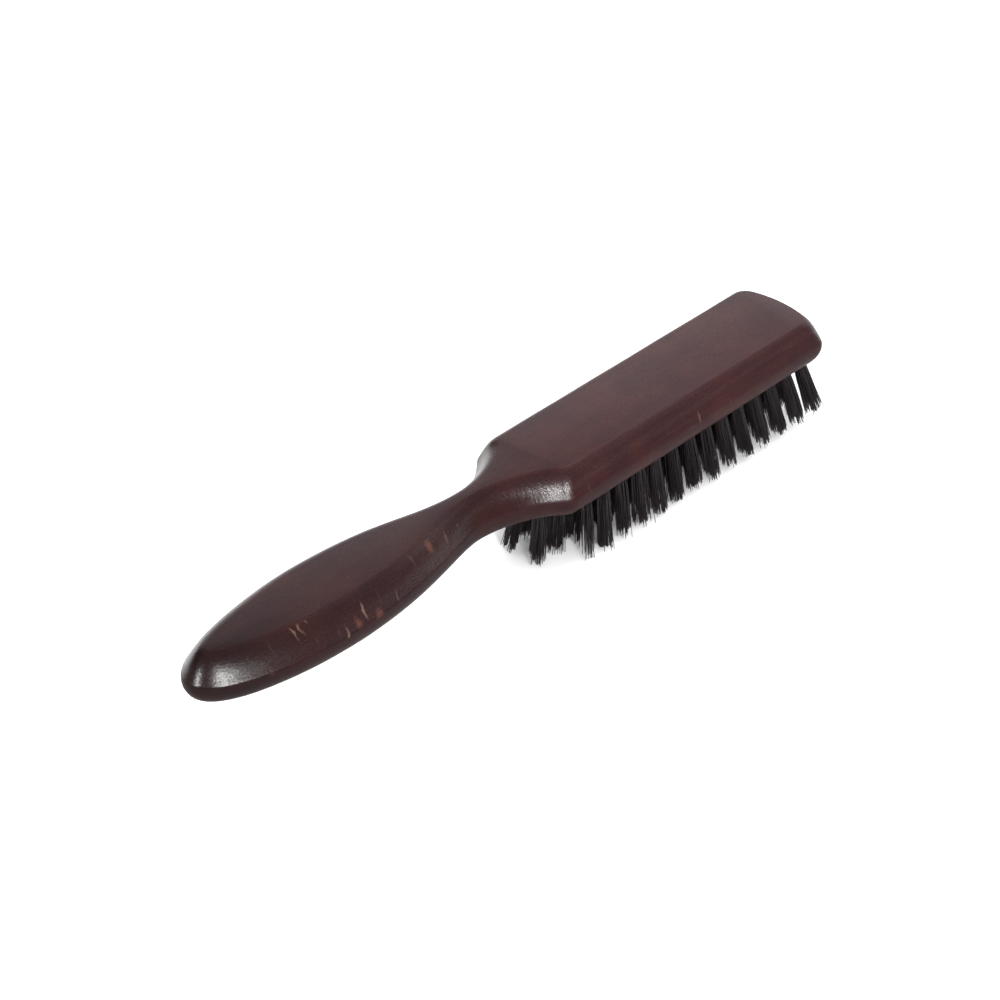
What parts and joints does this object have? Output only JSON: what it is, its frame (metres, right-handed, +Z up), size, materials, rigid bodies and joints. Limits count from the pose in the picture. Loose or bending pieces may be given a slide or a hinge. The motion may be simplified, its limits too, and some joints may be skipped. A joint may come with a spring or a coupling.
{
  "type": "beard brush",
  "caption": "Grooming brush with a flat-backed wooden handle and head in one piece and rows of fanned dark bristle tufts under the head.",
  "frame": {"origin": "under the middle of the brush's length and width, at the level of the bristle tips that it stands on", "axes": "+X from the handle to the head, +Y to the left side, +Z up out of the flat back"},
  "size_m": [0.19, 0.0282, 0.0265],
  "materials": {
    "stained_wood": "satin lacquer over dark stain",
    "bristle": "dark bristle with a soft sheen"
  },
  "bodies": {
    "root": {"wood_body": "stained_wood", "tuft_left_inner_01": "bristle", "tuft_left_inner_02": "bristle", "tuft_left_inner_03": "bristle", "tuft_left_inner_04": "bristle", "tuft_left_inner_05": "bristle", "tuft_left_inner_06": "bristle", "tuft_left_inner_07": "bristle", "tuft_left_inner_08": "bristle", "tuft_left_inner_09": "bristle", "tuft_left_inner_10": "bristle", "tuft_left_inner_11": "bristle", "tuft_left_inner_12": "bristle", "tuft_left_inner_13": "bristle", "tuft_left_inner_14": "bristle", "tuft_left_inner_15": "bristle", "tuft_left_outer_01": "bristle", "tuft_left_outer_02": "bristle", "tuft_left_outer_03": "bristle", "tuft_left_outer_04": "bristle", "tuft_left_outer_05": "bristle", "tuft_left_outer_06": "bristle", "tuft_left_outer_07": "bristle", "tuft_left_outer_08": "bristle", "tuft_left_outer_09": "bristle", "tuft_left_outer_10": "bristle", "tuft_left_outer_11": "bristle", "tuft_left_outer_12": "bristle", "tuft_left_outer_13": "bristle", "tuft_left_outer_14": "bristle", "tuft_right_inner_01": "bristle", "tuft_right_inner_02": "bristle", "tuft_right_inner_03": "bristle", "tuft_right_inner_04": "bristle", "tuft_right_inner_05": "bristle", "tuft_right_inner_06": "bristle", "tuft_right_inner_07": "bristle", "tuft_right_inner_08": "bristle", "tuft_right_inner_09": "bristle", "tuft_right_inner_10": "bristle", "tuft_right_inner_11": "bristle", "tuft_right_inner_12": "bristle", "tuft_right_inner_13": "bristle", "tuft_right_inner_14": "bristle", "tuft_right_inner_15": "bristle", "tuft_right_outer_01": "bristle", "tuft_right_outer_02": "bristle", "tuft_right_outer_03": "bristle", "tuft_right_outer_04": "bristle", "tuft_right_outer_05": "bristle", "tuft_right_outer_06": "bristle", "tuft_right_outer_07": "bristle", "tuft_right_outer_08": "bristle", "tuft_right_outer_09": "bristle", "tuft_right_outer_10": "bristle", "tuft_right_outer_11": "bristle", "tuft_right_outer_12": "bristle", "tuft_right_outer_13": "bristle", "tuft_right_outer_14": "bristle"}
  },
  "joints": []
}
